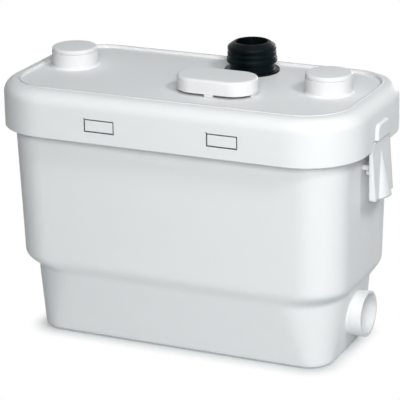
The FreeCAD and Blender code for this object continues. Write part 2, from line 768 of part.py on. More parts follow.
# Impeller, shaft and rotor turn together
impeller_disc = cylinder("impeller_disc", "impeller_radius", "impeller_bottom + blade_height", "impeller_top",
                         "pump_x", "pump_y")
impeller_hub = cylinder("impeller_hub", "hub_radius", "impeller_bottom + 1", "impeller_top + 5",
                        "pump_x", "pump_y")
impeller_hole = cylinder("impeller_hole", "shaft_radius", "impeller_bottom", "impeller_top + 6",
                         "pump_x", "pump_y")
blades = spokes("impeller_blades", "hub_radius - 1", "impeller_radius", "blade_thick", "impeller_bottom",
                "impeller_bottom + blade_height", "blade_count", "pump_x", "pump_y")
impeller_whole = fuse("impeller_whole", impeller_disc, impeller_hub, blades)
piece(cut("impeller_cut", impeller_whole, impeller_hole), "impeller")
piece(cylinder("shaft", "shaft_radius", "impeller_bottom", "shaft_top", "pump_x", "pump_y"), "motor_shaft")
piece(tube("rotor_core", "rotor_radius", "shaft_radius", "stator_bottom - 2", "stator_top + 2", "pump_x",
           "pump_y"), "rotor")

# Motor
bearing_seat = "bearing_radius + fit_gap"
bearing_boss = "bearing_radius + bearing_wall"
low_bearing = ("motor_bottom + motor_floor", "motor_bottom + motor_floor + bearing_thick")
high_bearing = ("motor_top - 2 - bearing_thick", "motor_top - 2")
piece(turned("can", [("shaft_radius + 1", "motor_bottom"), ("motor_radius", "motor_bottom"),
                     ("motor_radius", "motor_top"), ("motor_radius - motor_wall", "motor_top"),
                     ("motor_radius - motor_wall", low_bearing[0]), (bearing_boss, low_bearing[0]),
                     (bearing_boss, low_bearing[1]), (bearing_seat, low_bearing[1]),
                     (bearing_seat, low_bearing[0]), ("shaft_radius + 1", low_bearing[0])],
             "pump_x", "pump_y"), "motor_can")
piece(tube("bearing_low", "bearing_radius", "shaft_radius + shaft_gap", *low_bearing, "pump_x", "pump_y"),
      "lower_bearing")
piece(tube("bearing_high", "bearing_radius", "shaft_radius + shaft_gap", *high_bearing, "pump_x", "pump_y"),
      "upper_bearing")
piece(tube("stator_core", "stator_radius", "stator_bore", "stator_bottom", "stator_top", "pump_x", "pump_y"),
      "stator")
coils = doc.addObject("Part::Compound", "coils")
coils.Links = [tube("coil_low", "winding_outer", "winding_inner", "stator_bottom - winding_high",
                    "stator_bottom", "pump_x", "pump_y"),
               tube("coil_high", "winding_outer", "winding_inner", "stator_top", "stator_top + winding_high",
                    "pump_x", "pump_y")]
piece(coils, "windings")
piece(turned("top_cap", [("0", high_bearing[1]), (bearing_seat, high_bearing[1]),
                         (bearing_seat, high_bearing[0]),
                         (bearing_boss, high_bearing[0]), (bearing_boss, "motor_top"),
                         ("motor_radius", "motor_top"), ("motor_radius", "motor_top + cap_dome / 2"),
                         ("motor_radius - cap_dome / 2", "motor_top + cap_dome"),
                         ("0", "motor_top + cap_dome")], "pump_x", "pump_y"), "motor_top_cap")
dampers = doc.addObject("Part::Compound", "dampers")
dampers.Links = [cylinder(f"damper_{index}", "damper_radius", "motor_top + cap_dome", "plate_level",
                          f"pump_x + {a} * damper_circle", f"pump_y + {b} * damper_circle")
                 for index, (a, b) in enumerate(((1, 0), (-0.5, 0.866), (-0.5, -0.866)))]
piece(dampers, "motor_dampers")

# Discharge: lower pipe, non-return valve with its flap, upper pipe
bend = doc.addObject("Part::Sphere", "bend")
bend.setExpression("Radius", formula("riser_radius"))
placed(bend, "outlet_x", "outlet_y", "riser_level")
bend_bore = doc.addObject("Part::Sphere", "bend_bore")
bend_bore.setExpression("Radius", formula("riser_bore"))
placed(bend_bore, "outlet_x", "outlet_y", "riser_level")
flat_run = cylinder("flat_run", "riser_radius", stub_end, "outlet_x", *riser_line)
flat_bore = cylinder("flat_bore", "riser_bore", f"{stub_end} - 1", "outlet_x", *riser_line)
tall_run = cylinder("tall_run", "riser_radius", "riser_level", "valve_bottom", "outlet_x", "outlet_y")
tall_bore = cylinder("tall_bore", "riser_bore", "riser_level", "valve_bottom + 1", "outlet_x", "outlet_y")
piece(cut("lower_pipe", fuse("lower_pipe_whole", flat_run, bend, tall_run), flat_bore, bend_bore, tall_bore),
      "discharge_pipe_lower")
valve_inside = "valve_radius - valve_wall"
flap_x = "outlet_x - flap_hinge"
valve_shell = turned("valve_shell", [("riser_bore", "valve_bottom"), ("valve_radius", "valve_bottom"),
                                     ("valve_radius", "valve_top"), ("riser_bore", "valve_top"),
                                     ("riser_bore", "valve_top - valve_ceiling"),
                                     (valve_inside, "valve_top - valve_ceiling"), (valve_inside,
                                     "valve_seat"), ("riser_bore", "valve_seat")], "outlet_x", "outlet_y")
flap_pin_half = "valve_radius - flap_hinge + 4.5"
valve_pin_hole = cylinder("valve_pin_hole", "flap_pin_radius + fit_gap", f"outlet_y - ({flap_pin_half})",
                          f"outlet_y + ({flap_pin_half})", flap_x, "flap_hinge_level", "y")
piece(cut("valve_body", valve_shell, valve_pin_hole), "non_return_valve_body")
flap_rise = ("valve_seat + flap_gap", "valve_seat + flap_gap + flap_thick")
flap_disc = cylinder("flap_disc", "flap_radius", *flap_rise, "outlet_x", "outlet_y")
flap_strap = box("flap_strap", (flap_x, "outlet_x"),
                 ("outlet_y - flap_barrel_half + 1", "outlet_y + flap_barrel_half - 1"), flap_rise)
flap_barrel = cylinder("flap_barrel_whole", "flap_barrel", "outlet_y - flap_barrel_half",
                       "outlet_y + flap_barrel_half", flap_x, "flap_hinge_level", "y")
flap_barrel_hole = cylinder("flap_barrel_hole", "flap_pin_radius + pin_gap",
                            "outlet_y - flap_barrel_half - 1", "outlet_y + flap_barrel_half + 1", flap_x,
                            "flap_hinge_level", "y")
flap_whole = fuse("flap_whole", flap_disc, flap_strap, flap_barrel)
piece(cut("flap_cut", flap_whole, flap_barrel_hole), "non_return_flap")
piece(cylinder("flap_pin", "flap_pin_radius", f"outlet_y - ({flap_pin_half})",
               f"outlet_y + ({flap_pin_half})", flap_x, "flap_hinge_level", "y"), "non_return_flap_pin")
piece(tube("upper_pipe", "riser_radius", "riser_bore", "valve_top", "riser_top", "outlet_x", "outlet_y"),
      "discharge_pipe_upper")

# Equipment plate
plate_block = block("plate_block", "plate_right - plate_left", "plate_depth", "bracket_inset",
                    "plate_level", "plate_top", "plate_middle")
plate_holes = [cylinder("plate_riser_hole", "riser_radius + clip_gap", "plate_level - 1", "plate_top + 1",
                        "outlet_x", "outlet_y"),
               cylinder("plate_bell_hole", "membrane_radius + clip_gap", "plate_level - 1", "plate_top + 1",
                        "bell_x", "bell_y")]
plate_holes += [cylinder(f"plate_screw_hole_{index}", "screw_radius + fit_gap", "plate_level - 1",
                         "plate_top + 1", x, y) for index, (x, y) in enumerate(plate_screw_spots)]
piece(cut("plate_cut", plate_block, *plate_holes), "equipment_plate")
plate_screws = doc.addObject("Part::Compound", "plate_screw_group")
plate_screws.Links = [screw(f"plate_screw_{index}", x, y, "plate_top")
                      for index, (x, y) in enumerate(plate_screw_spots)]
piece(plate_screws, "plate_screws")

# Level switch: pressure bell, membrane, housing, plunger and microswitch
piece(turned("bell", [("bell_radius - bell_wall", "bell_bottom"), ("bell_radius", "bell_bottom"),
                      ("bell_radius", "plate_level - bell_flange_thick"),
                      ("bell_flange", "plate_level - bell_flange_thick"), ("bell_flange", "plate_level"),
                      ("bell_radius - bell_wall", "plate_level")], "bell_x", "bell_y"), "pressure_bell")
piece(turned("membrane", [("0", "plate_level"), ("membrane_radius", "plate_level"),
                          ("membrane_radius", "membrane_top"), ("membrane_dome_radius", "membrane_top"),
                          ("membrane_dome_radius - 2", "dome_top"), ("0", "dome_top")], "bell_x", "bell_y"),
      "level_membrane")
housing_wall = "bell_flange - bell_wall"
lip = "membrane_radius - 3"
piece(turned("switch_shell", [(lip, "membrane_top"), ("membrane_radius", "membrane_top"),
                              ("membrane_radius", "plate_top"), ("bell_flange", "plate_top"),
                              ("bell_flange", "switch_top"), ("0", "switch_top"),
                              ("0", "switch_top - bell_wall"), (housing_wall, "switch_top - bell_wall"),
                              (housing_wall, "plate_top + bell_wall"), (lip, "plate_top + bell_wall")],
             "bell_x", "bell_y"), "switch_housing")
switch_base = "switch_top - bell_wall - switch_box_high"
switch_block = box("switch_block", ("bell_x - switch_box / 2", "bell_x + switch_box / 2"),
                   ("bell_y - switch_box_deep / 2", "bell_y + switch_box_deep / 2"),
                   (switch_base, "switch_top - bell_wall"))
switch_socket = cylinder("switch_socket", "switch_pin + rest_gap", f"{switch_base} - 1",
                         f"{switch_base} + switch_pin_long + 2", "bell_x", "bell_y")
piece(cut("switch_cut", switch_block, switch_socket), "microswitch")
plunger_low = "dome_top + rest_gap"
piece(turned("plunger", [("0", plunger_low), ("2 * plunger_radius", plunger_low),
                         ("2 * plunger_radius", f"{plunger_low} + 1.5"),
                         ("plunger_radius", f"{plunger_low} + 1.5"),
                         ("plunger_radius", f"{switch_base} - 2"), ("switch_pin", f"{switch_base} - 2"),
                         ("switch_pin", f"{switch_base} + switch_pin_long - 1.5"),
                         ("0", f"{switch_base} + switch_pin_long - 1.5")], "bell_x", "bell_y"),
      "switch_plunger")

# Electrics on the plate
box_span = (("box_x", "box_x + box_long"), ("box_y", "box_y + box_deep"))


def inset(span, amount):
    return (f"{span[0]} + {amount}", f"{span[1]} - {amount}")


box_outside = box("terminal_outside", *box_span, ("plate_top", "box_top"))
box_inside = box("terminal_inside", *(inset(span, "box_wall") for span in box_span),
                 ("plate_top + box_wall", "box_top + 1"))
post_inset = "screw_head + box_wall / 2"
post_spots = [(f"box_x + {post_inset}", f"box_y + {post_inset}"),
              (f"box_x + box_long - ({post_inset})", f"box_y + box_deep - ({post_inset})")]
posts = [cylinder(f"box_post_{index}", "screw_head", "plate_top", "box_top", x, y)
         for index, (x, y) in enumerate(post_spots)]
post_holes = [cylinder(f"post_hole_{index}", "screw_radius + fit_gap", "box_top - screw_deep - 1",
                       "box_top + box_wall + 1", x, y) for index, (x, y) in enumerate(post_spots)]
box_shell = cut("box_shell", box_outside, box_inside)
piece(cut("box_drilled", fuse("box_with_posts", box_shell, *posts), *post_holes), "terminal_box")
cover_plate = box("box_cover_plate", *box_span, ("box_top", "box_top + box_wall"))
piece(cut("box_cover_drilled", cover_plate, *(
    cylinder(f"cover_hole_{index}", "screw_radius + fit_gap", "box_top - 1", "box_top + box_wall + 1", x, y)
    for index, (x, y) in enumerate(post_spots))), "terminal_cover")
box_screws = doc.addObject("Part::Compound", "box_screw_group")
box_screws.Links = [screw(f"box_screw_{index}", x, y, "box_top + box_wall")
                    for index, (x, y) in enumerate(post_spots)]
piece(box_screws, "terminal_screws")
capacitor_line = ("capacitor_y", "capacitor_level", "x")
can_end = "capacitor_x + capacitor_long"
capacitor_can = cylinder("capacitor_can", "capacitor_radius", "capacitor_x", can_end, *capacitor_line)
capacitor_nose = cylinder("capacitor_nose", "capacitor_radius - capacitor_shoulder", can_end,
                          f"{can_end} + capacitor_nose", *capacitor_line)
piece(fuse("capacitor_whole", capacitor_can, capacitor_nose), "capacitor")
band_span = ("capacitor_x + capacitor_long / 2 - band_half", "capacitor_x + capacitor_long / 2 + band_half")
band_outer = cylinder("band_outer", "capacitor_radius + clip_band", *band_span, *capacitor_line)
band_inner = cylinder("band_inner", "capacitor_radius + fit_gap", f"{band_span[0]} - 1",
                      f"{band_span[1]} + 1", *capacitor_line)
band_foot = box("band_foot", band_span,
                ("capacitor_y - capacitor_radius - band_foot", "capacitor_y + capacitor_radius + band_foot"),
                ("plate_top", "plate_top + clip_band"))
piece(cut("band_cut", fuse("band_whole", band_outer, band_foot), band_inner), "capacitor_clip")
gland_line = ("gland_x", "gland_level", "y")
gland_start = "gland_face - gland_body_long"
gland_barrel = cylinder("gland_barrel", "gland_radius", gland_start, "gland_face", *gland_line)
gland_flange = cylinder("gland_flange_disc", "gland_nut_radius", gland_start,
                        f"{gland_start} + gland_body_long - tank_wall - 2", *gland_line)
gland_bore = cylinder("gland_bore_hole", "gland_bore + clip_gap", f"{gland_start} - 1",
                      "gland_face + 1", *gland_line)
piece(cut("gland_cut", fuse("gland_whole", gland_barrel, gland_flange), gland_bore), "cable_gland_body")
piece(tube("gland_nut_ring", "gland_nut_radius", "gland_bore", "gland_face", "gland_face + gland_nut_long",
           *gland_line), "cable_gland_nut")

# Lid
lid_outside = round_edges(block("lid_outside", "lid_width", "lid_depth", "lid_corner", "skirt_bottom",
                                "border_top"), "border_top", "lid_edge_round")
lid_hollow = round_edges(block("lid_hollow", "lid_width - 2 * lid_wall", "lid_depth - 2 * lid_wall",
                               "lid_corner - lid_wall", "skirt_bottom", "panel_under"), "panel_under",
                         "lid_edge_round - lid_wall")
ridge = block("lid_ridge", "lid_width - 2 * ridge_inset", "lid_depth - 2 * ridge_inset",
              "lid_corner - ridge_inset", "panel_under", "ridge_top")
recess_inset = "(ridge_inset + ridge_band)"
recess = block("panel_recess", f"lid_width - 2 * {recess_inset}", f"lid_depth - 2 * {recess_inset}",
               f"lid_corner - {recess_inset}", "panel_top", "ridge_top + 1")
rib_low = "rim_top + seal_high"
rib = cut("seal_rib", block("seal_rib_outer", "rim_width - 1", "rim_depth - 1", "rim_corner - 0.5", rib_low,
                            "panel_under + 1"),
          block("seal_rib_inner", "rim_width - 2 * seal_wide + 1", "rim_depth - 2 * seal_wide + 1",
                "rim_corner - seal_wide + 0.5", "rim_top", "panel_under + 2"))
piece(cut("seal_ring", block("seal_outer", "rim_width", "rim_depth", "rim_corner", "rim_top", rib_low),
          block("seal_inner", "rim_width - 2 * seal_wide", "rim_depth - 2 * seal_wide",
                "rim_corner - seal_wide", "rim_top - 1", f"{rib_low} + 1")), "lid_seal")
inlets = (("left", "inlet_left"), ("right", "inlet_right"))
tubes = [cylinder(f"{side}_inlet_tube", "inlet_radius", "panel_under - inlet_spout", "inlet_top", x,
                  "inlet_back")
         for side, x in inlets]
tube_holes = [cylinder(f"{side}_inlet_hole", "inlet_bore", "panel_under - inlet_spout - 1", "inlet_top + 1",
                       x, "inlet_back") for side, x in inlets]
pry_slots = [box(f"{side}_pry_slot", (f"{x} - inlet_radius - 1", f"{x} - inlet_bore + 1"),
                 ("inlet_back - pry_wide / 2", "inlet_back + pry_wide / 2"),
                 ("inlet_top - pry_deep", "inlet_top + 1")) for side, x in inlets]
collars = []
for side, x in inlets:
    collar = doc.addObject("Part::Cone", side + "_inlet_foot")
    collar.setExpression("Radius1", formula("inlet_radius + inlet_foot"))
    collar.setExpression("Radius2", formula("inlet_radius"))
    collar.setExpression("Height", formula("inlet_foot"))
    collars.append(placed(collar, x, "inlet_back", "panel_top"))
well_long, well_across = "vent_length - 2 * well_inset", "vent_width - 2 * well_inset"
well_floor = "panel_under - well_depth"
well = obround("well", well_long, well_across, well_floor, "panel_top", "vent_x", "vent_y")
well_inside = obround("well_inside", f"{well_long} - 2 * well_wall", f"{well_across} - 2 * well_wall",
                      f"{well_floor} + well_wall", "panel_top + 1", "vent_x", "vent_y")
well_holes = [cylinder(f"well_hole_{index}", "well_wall + 1", f"{well_floor} - 1",
                       f"{well_floor} + well_wall + 1", f"vent_x + {index - 2} * well_inset", "vent_y")
              for index in range(5)]
sleeve_hole = cylinder("sleeve_hole", "sleeve_tail + rest_gap", "panel_under - 1", "panel_top + 1",
                       "outlet_x", "outlet_y")
windows = [window(f"lid_window_{index}", middle, side, "0", "-lid_depth / 2 - 1",
                  "-lid_depth / 2 + lid_wall + 1")
           for index, (middle, side) in enumerate(window_places)]
window_dots = [cylinder(f"window_dot_{index}", "window_dot", "-lid_depth / 2 - 1" if side == "-" else
                        "lid_depth / 2 - lid_wall - 1", "-lid_depth / 2 + lid_wall + 1" if side == "-" else
                        "lid_depth / 2 + 1", f"{middle} {side} window_width / 2",
                        "window_level + window_height", "y")
               for index, (middle, side) in enumerate(window_places)]
notch_top, notch_low = "clip_top + clip_slit", "skirt_bottom - 1"
notch_top_half, notch_low_half = "(clip_top_half + clip_side_gap)", "(clip_half + clip_side_gap)"
notch = slab("clip_notch_cut", "YZ_Plane",
             [(f"-{notch_top_half}", notch_top), (f"-{notch_low_half}", "clip_bend"),
              (notch_low_half, "clip_bend"), (notch_top_half, notch_top)],
             "skirt_inside - clip_cheek", "lid_width / 2 + 1")
clip_boss_body = new_body("clip_boss_body")
boss_pad = clip_boss_body.newObject("PartDesign::Pad", "clip_boss_pad")
boss_pad.Profile = rounded_outline(clip_boss_body, "clip_boss_outline", "2 * boss_half",
                                   f"2 * (boss_top - ({notch_top}))", "boss_corner", "skirt_inside + 1", "0",
                                   notch_top, "YZ_Plane")
boss_pad.setExpression("Length", formula("lid_wall - 1 + boss_proud"))
round_edges(clip_boss_body, "lid_width / 2 + boss_proud", "boss_round", "X")
below_boss = box("below_boss", ("skirt_inside", "lid_width / 2 + boss_proud + 1"),
                 ("-boss_half - 1", "boss_half + 1"), (f"2 * ({notch_top}) - boss_top - 1", notch_top))
boss = cut("lid_clip_boss", clip_boss_body, below_boss)
pin_line = ("clip_pin_x", "clip_pin_level", "y")
boss_in, boss_out = "(clip_half - 0.3)", "(clip_half - 0.3 + clip_boss_long)"
pin_bosses = [cylinder("pin_boss_front", "clip_boss", f"-{boss_out}", f"-{boss_in}", *pin_line),
              cylinder("pin_boss_back", "clip_boss", boss_in, boss_out, *pin_line)]
boss_hole = cylinder("pin_boss_hole", "clip_pin_radius + fit_gap", f"-{boss_out} - 1", f"{boss_out} + 1",
                     *pin_line)
lid_shell = cut("lid_shell", fuse("lid_block", lid_outside, ridge), recess, lid_hollow)
lid_whole = fuse("lid_whole", cut("lid_notched", lid_shell, notch), rib, well, boss, *tubes, *collars,
                 *pin_bosses)
piece(cut("lid_cut", lid_whole, *tube_holes, *pry_slots, well_inside, *well_holes, sleeve_hole, *windows,
          *window_dots, boss_hole), "lid")

# Top inlet caps and their rings
for side, x in inlets:
    groove = "(ring_middle - ring_section - ring_gap)"
    plug_inside = "plug_radius - cap_plug_wall"
    plug_bottom = "cap_bottom - cap_plug_deep"
    piece(turned(side + "_cap", [(plug_inside, plug_bottom), ("plug_radius", plug_bottom),
                                 ("plug_radius", "ring_level - ring_section - ring_gap"),
                                 (groove, "ring_level - ring_section - ring_gap"),
                                 (groove, "ring_level + ring_section + ring_gap"),
                                 ("plug_radius", "ring_level + ring_section + ring_gap"),
                                 ("plug_radius", "cap_bottom"), ("cap_radius", "cap_bottom"),
                                 ("cap_radius", "cap_top - cap_round"),
                                 ("cap_radius - 0.134 * cap_round", "cap_top - 0.5 * cap_round"),
                                 ("cap_radius - 0.5 * cap_round", "cap_top - 0.134 * cap_round"),
                                 ("cap_radius - cap_round", "cap_top"), ("0", "cap_top"),
                                 ("0", "cap_bottom"), (plug_inside, "cap_bottom")],
                 x, "inlet_back"), side + "_top_cap")
    ring = doc.addObject("Part::Torus", side + "_cap_ring")
    ring.setExpression("Radius1", formula("ring_middle"))
    ring.setExpression("Radius2", formula("ring_section"))
    piece(placed(ring, x, "inlet_back", "ring_level"), side + "_cap_seal")

# Vent cover with its filter pad
cover_low = obround("cover_low", "vent_length", "vent_width", "vent_bottom", "vent_top - 1.4", "vent_x",
                    "vent_y")
cover_mid = obround("cover_mid", "vent_length - 0.8", "vent_width - 0.8", "vent_top - 1.4",
                    "vent_top - 0.5", "vent_x", "vent_y")
cover_high = obround("cover_high", "vent_length - 2.6", "vent_width - 2.6", "vent_top - 0.5", "vent_top",
                     "vent_x", "vent_y")
cover_inside = obround("cover_inside", "vent_length - 2 * vent_wall", "vent_width - 2 * vent_wall",
                       "vent_bottom - 1", "vent_top - vent_wall", "vent_x", "vent_y")
foot_low = "panel_top + rest_gap"
foot_rise = (foot_low, "vent_bottom + vent_foot_root")
foot_across = ("vent_x - vent_foot / 2", "vent_x + vent_foot / 2")
foot_along = ("vent_y - vent_foot / 2", "vent_y + vent_foot / 2")


def facing_feet(middle, length):
    """Where a foot stands just inside each of two facing edges of the cover."""
    near = f"{middle} - {length} / 2 + vent_foot_inset"
    far = f"{middle} + {length} / 2 - vent_foot_inset"
    return (near, f"{near} + vent_foot_deep"), (f"{far} - vent_foot_deep", far)


cover_feet = [box(f"cover_foot_{index}", foot_across, span, foot_rise)
              for index, span in enumerate(facing_feet("vent_y", "vent_width"))]
cover_feet += [box(f"cover_side_foot_{index}", span, foot_along, foot_rise)
               for index, span in enumerate(facing_feet("vent_x", "vent_length"))]
filter_low = f"{well_floor} + well_wall + filter_gap"
filter_high = f"{filter_low} + filter_thick"
hangers = [box(f"cover_hanger_{index}", (f"vent_x + {offset} - 1.5", f"vent_x + {offset} + 1.5"),
               ("vent_y - 4", "vent_y + 4"), (filter_high, "vent_top - vent_wall + 0.5"))
           for index, offset in enumerate((-18, 18))]
cover_shell = cut("cover_shell", fuse("cover_solid", cover_low, cover_mid, cover_high), cover_inside)
piece(fuse("cover_whole", cover_shell, *cover_feet, *hangers), "vent_cover")
piece(obround("filter_pad", f"{well_long} - 2 * well_wall - 2 * filter_gap",
              f"{well_across} - 2 * well_wall - 2 * filter_gap", filter_low, filter_high, "vent_x", "vent_y"),
      "carbon_filter")

# Rubber outlet sleeve
tail_bottom = "panel_top - sleeve_tail_deep"
flange_top = "panel_top + sleeve_flange_thick"
rings = []
level = neck_top = f"{flange_top} + sleeve_neck_high"
for radius, high, above in (("sleeve_low_ring", "sleeve_low_high", "sleeve_groove"),
                            ("sleeve_mid_ring", "sleeve_mid_high", "sleeve_groove"),
                            ("sleeve_top_ring", "sleeve_top_high", None)):
    ring_top = f"{level} + {high}"
    rings += [(f"{radius} - sleeve_ring_round", level), (radius, f"{level} + sleeve_ring_round"),
              (radius, f"{ring_top} - sleeve_ring_round"), (f"{radius} - sleeve_ring_round", ring_top)]
    if above:
        rings += [(above, f"{ring_top} + 0.4 * sleeve_groove_high"),
                  (above, f"{ring_top} + 0.6 * sleeve_groove_high")]
        level = f"{ring_top} + sleeve_groove_high"
sleeve_top = f"{ring_top} + sleeve_shoulder_high"
piece(turned("sleeve", [("riser_radius + fit_gap", tail_bottom), ("sleeve_tail", tail_bottom),
                        ("sleeve_tail", "panel_top + fit_gap"), ("sleeve_flange", "panel_top + fit_gap"),
                        ("sleeve_flange", flange_top),
                        ("sleeve_neck + sleeve_neck_fillet", flange_top),
                        ("sleeve_neck", f"{flange_top} + sleeve_neck_fillet"),
                        ("sleeve_neck", neck_top), *rings,
                        ("sleeve_mouth", f"{sleeve_top} - sleeve_mouth_round"),
                        ("sleeve_mouth - sleeve_mouth_round", sleeve_top),
                        ("sleeve_bore + 0.5", sleeve_top),
                        ("sleeve_bore", f"{sleeve_top} - sleeve_mouth_round"),
                        ("sleeve_bore", "riser_top + 1"), ("riser_radius + fit_gap", "riser_top + 1")],
             "outlet_x", "outlet_y"), "outlet_sleeve")

# End clip: a hooked tongue on a pin in the lid, leaning out to a finger pull at its foot
tongue_outline = slab("clip_outline_block", "YZ_Plane",
                      [("-clip_top_half", "clip_top"), ("-clip_half", "clip_bend"),
                       ("-clip_bottom_half", "clip_bottom"), ("clip_bottom_half", "clip_bottom"),
                       ("clip_half", "clip_bend"), ("clip_top_half", "clip_top")],
                      "clip_face - clip_hook_half", "clip_face + clip_hook_half")
outer_face = [("clip_face - clip_chamfer", "clip_top"), ("clip_face", "clip_top - clip_chamfer"),
              ("clip_face", "clip_bend"), ("clip_foot", "clip_bottom")]
tongue_plate = slab("clip_plate", "XZ_Plane",
                    outer_face + [("clip_foot - clip_thick", "clip_bottom"),
                                  ("clip_face - clip_thick", "clip_bend"),
                                  ("clip_face - clip_thick", "clip_top")], "-clip_half - 1", "clip_half + 1")
tongue_cheeks = slab("clip_cheeks", "XZ_Plane",
                     outer_face[2:] + [("clip_face - clip_cheek", "clip_bottom"),
                                       ("clip_face - clip_cheek", "clip_bend")],
                     "-clip_half - 1", "clip_half + 1")
between_cheeks = box("between_cheeks", ("clip_face - 2 * clip_cheek", "clip_foot + 1"),
                     ("clip_thick - clip_bottom_half", "clip_bottom_half - clip_thick"),
                     ("clip_bottom - 1", "clip_bend + 1"))
clip_sides = cut("clip_sides", tongue_cheeks, between_cheeks)
tongue = common("clip_tongue", fuse("clip_sheet", tongue_plate, clip_sides),
                tongue_outline)
bulge_cone = leaning_cone("bulge_cone", ("bulge_radius", "bulge_x", "clip_bottom"),
                          ("bulge_tip", "clip_face - bulge_tip", "clip_bend"))
front_of_face = slab("clip_front_space", "XZ_Plane",
                     [("clip_face - clip_thick / 2", "clip_bend"), ("clip_foot - clip_thick / 2",
                      "clip_bottom"), ("clip_foot + 2 * bulge_proud", "clip_bottom"),
                      ("clip_foot + 2 * bulge_proud", "clip_bend")], "-clip_half", "clip_half")
bulge = common("clip_bulge", bulge_cone, front_of_face)
finger_space = leaning_cone("finger_space",
                            ("bulge_radius - clip_thick", "bulge_x", "clip_bottom - 0.001"),
                            ("bulge_radius * (1 - finger_part) + bulge_tip * finger_part - clip_thick",
                             "bulge_x * (1 - finger_part) + (clip_face - bulge_tip) * finger_part",
                             "finger_top"))
hook = box("clip_hook", ("tank_end + keeper_reach - clip_hook_reach", "clip_face"),
           ("-clip_hook_half", "clip_hook_half"), ("clip_hook_level - clip_hook_thick", "clip_hook_level"))
barrel = cylinder("clip_barrel_whole", "clip_barrel", "-clip_barrel_half", "clip_barrel_half", *pin_line)
clip_shell = cut("clip_shell", fuse("clip_front", tongue, bulge), finger_space)
pin_hole = cylinder("clip_pin_hole", "clip_pin_radius + pin_gap", "-clip_half - 1", "clip_half + 1",
                    *pin_line)
piece(cut("clip_cut", fuse("clip_whole", clip_shell, hook, barrel), pin_hole), "end_clip")
piece(cylinder("clip_pin", "clip_pin_radius", f"-{boss_out}", boss_out, *pin_line), "end_clip_pin")

doc.recompute()
faults = [thing.Name for thing in doc.Objects if {"Invalid", "Error"} & set(thing.State)]
faults += [thing.Label for thing in pieces if thing.Shape.isNull() or not thing.Shape.isValid()]
if faults:
    raise RuntimeError("these failed: " + ", ".join(faults))
for thing in pieces:
    thing.Shape.exportStep(f"parts/{thing.Label}.step")
    print(f"{thing.Label:24} {len(thing.Shape.Solids)} solid, {thing.Shape.Volume:10.0f} mm3")
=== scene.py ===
import math

import bmesh
import bpy
from mathutils import Matrix, Vector


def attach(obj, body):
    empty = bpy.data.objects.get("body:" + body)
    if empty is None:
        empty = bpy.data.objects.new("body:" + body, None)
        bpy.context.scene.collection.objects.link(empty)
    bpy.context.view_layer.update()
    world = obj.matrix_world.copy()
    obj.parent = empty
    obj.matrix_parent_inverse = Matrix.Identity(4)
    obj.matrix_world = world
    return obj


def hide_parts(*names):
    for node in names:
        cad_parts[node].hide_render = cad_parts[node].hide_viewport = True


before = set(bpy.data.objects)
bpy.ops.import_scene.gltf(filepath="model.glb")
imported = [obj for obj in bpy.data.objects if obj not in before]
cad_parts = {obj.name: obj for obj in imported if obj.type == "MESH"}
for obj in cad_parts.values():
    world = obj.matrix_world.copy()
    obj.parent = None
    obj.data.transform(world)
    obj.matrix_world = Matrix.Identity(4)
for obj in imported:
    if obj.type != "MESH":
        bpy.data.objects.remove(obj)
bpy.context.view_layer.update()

# Tank
# A tall injection-moulded box of white plastic with a narrower foot and one side inlet. It stands on the
# floor and carries everything else, and the lid snaps over its rim.


class Wire:
    """A socket in a tree of nodes, or only the tree. Arithmetic on it adds Math nodes to the tree."""

    def __init__(self, tree, socket=None):
        self.tree = tree
        self.socket = socket

    def node(self, kind, inputs, output=0, **settings):
        """A new node in the same tree, returned as a Wire from one of its outputs."""
        made = self.tree.nodes.new(kind)
        for name, choice in settings.items():
            setattr(made, name, choice)
        for key, given in inputs.items():
            feed(made.inputs[key], given)
        return Wire(self.tree, made.outputs[output])

    def math(self, operation, *others):
        return self.node("ShaderNodeMath", dict(enumerate((self, *others))), operation=operation)

    def __add__(self, other):
        return self.math("ADD", other)

    def __sub__(self, other):
        return self.math("SUBTRACT", other)

    def __rsub__(self, other):
        return self * -1 + other

    def __mul__(self, other):
        return self.math("MULTIPLY", other)

    __radd__ = __add__
    __rmul__ = __mul__

    def vector(self, operation, *others, output=0):
        """A Vector Math node on the position that this wire gives."""
        return self.node("ShaderNodeVectorMath", dict(enumerate((self, *others))), output=output,
                         operation=operation)

    def clamp(self, low, high):
        """The value moved from low..high to 0..1, eased and held there."""
        return self.node("ShaderNodeMapRange", {"Value": self, "From Min": low, "From Max": high},
                         interpolation_type="SMOOTHSTEP")

    def noise(self, scale, detail):
        """Cloudy noise over the position this wire gives, from 0 to 1."""
        return self.node("ShaderNodeTexNoise", {"Vector": self, "Scale": scale, "Detail": detail})

    def layers(self, scale):
        """Level layers stacked along z over the position this wire gives, from 0 to 1."""
        return self.node("ShaderNodeTexWave", {"Vector": self, "Scale": scale}, bands_direction="Z")

    def stretched(self, x, y, z):
        """The position this wire gives, scaled along each axis."""
        return self.vector("MULTIPLY", (x, y, z))


def feed(socket, given):
    """Joins a wire to a node's input, or sets a plain value on it."""
    if isinstance(given, Wire):
        given.tree.links.new(given.socket, socket)
    else:
        socket.default_value = given


def mixed(factor, first, second):
    """A colour between two colours, each a wire or red, green, blue and 1."""
    return factor.node("ShaderNodeMix", {0: factor, 6: first, 7: second}, output=2, data_type="RGBA")


def finish_material(look):
    """A material with a look's name: the look gets the object position and returns the shader's inputs."""
    material = bpy.data.materials.new(look.__name__)
    material.use_nodes = True
    shader = material.node_tree.nodes["Principled BSDF"]
    place = Wire(material.node_tree).node("ShaderNodeTexCoord", {}, output="Object")
    for key, given in look(place).items():
        feed(shader.inputs[key], given)
    return material


EDGE_SAMPLES = 6


def dented(height, strength, distance, edge=0.0):
    """A surface normal from a height, on edges rounded by the given radius in metres."""
    inputs = {"Height": height, "Strength": strength, "Distance": distance}
    if edge:
        inputs["Normal"] = height.node("ShaderNodeBevel", {"Radius": edge}, samples=EDGE_SAMPLES)
    return height.node("ShaderNodeBump", inputs)


